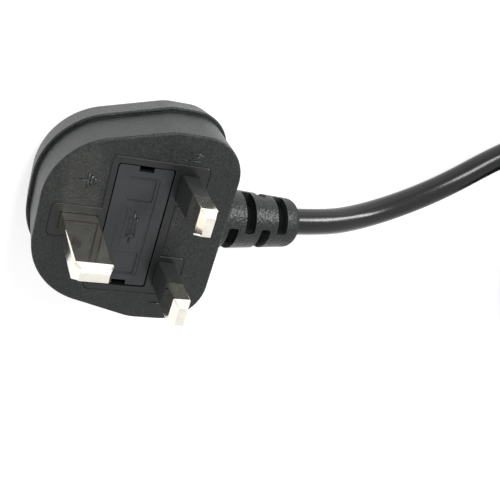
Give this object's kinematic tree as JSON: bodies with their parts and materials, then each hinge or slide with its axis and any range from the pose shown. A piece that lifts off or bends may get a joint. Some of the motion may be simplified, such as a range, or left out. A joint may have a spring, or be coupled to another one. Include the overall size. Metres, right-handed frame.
{
  "type": "three-pin fused mains plug",
  "caption": "Moulded black mains plug with flat rectangular pins, sleeved live pins, a pull-out fuse carrier, slotted strain relief and a round lead.",
  "frame": {"origin": "on the rest plane of the flat back, under the midpoint of the line and neutral pins", "axes": "+Z along the pins, from the back to the pin face; +X towards the cord exit; +Y towards the neutral pin"},
  "size_m": [0.2616, 0.0646, 0.0477],
  "materials": {
    "moulded_pvc": "fine spark-eroded mould texture",
    "insert_nylon": "smooth satin moulding",
    "carrier_nylon": "smooth satin moulding",
    "nickel_plated_brass": "bright nickel plate",
    "sleeve_nylon": "smooth satin moulding",
    "ceramic": "unglazed ceramic",
    "copper": "bright drawn copper",
    "spring_brass": "rolled brass",
    "brown_insulation": "extruded PVC",
    "blue_insulation": "extruded PVC",
    "earth_insulation": "extruded PVC, green and yellow",
    "cord_pvc": "smooth extruded PVC sheath",
    "tie_nylon": "moulded nylon"
  },
  "bodies": {
    "plug": {"moulded_body": "moulded_pvc", "connector_body": "moulded_pvc", "pin_bridge": "insert_nylon", "bridge_cap": "insert_nylon", "connector_insert": "insert_nylon", "line_pin": "nickel_plated_brass", "neutral_pin": "nickel_plated_brass", "earth_pin": "nickel_plated_brass", "line_pin_sleeve": "sleeve_nylon", "neutral_pin_sleeve": "sleeve_nylon", "supply_strand": "copper", "neutral_strand": "copper", "earth_strand": "copper", "line_fuse_clip": "spring_brass", "supply_fuse_clip": "spring_brass", "supply_crimp": "spring_brass", "neutral_crimp": "spring_brass", "earth_crimp": "spring_brass", "connector_line_contact": "spring_brass", "connector_neutral_contact": "spring_brass", "connector_earth_contact": "spring_brass", "supply_core": "brown_insulation", "neutral_core": "blue_insulation", "earth_core": "earth_insulation", "cord_lead": "cord_pvc", "cord_coil": "cord_pvc", "cord_tail": "cord_pvc", "coil_tie": "tie_nylon"},
    "fuse_holder": {"fuse_carrier": "carrier_nylon", "fuse_barrel": "ceramic", "fuse_line_cap": "nickel_plated_brass", "fuse_supply_cap": "nickel_plated_brass", "fuse_wire": "copper"}
  },
  "joints": [
    {"name": "fuse_carrier_slide", "type": "slide", "parent": "plug", "child": "fuse_holder", "axis": [0, 0, 1], "range_m": [0, 0.012]}
  ]
}
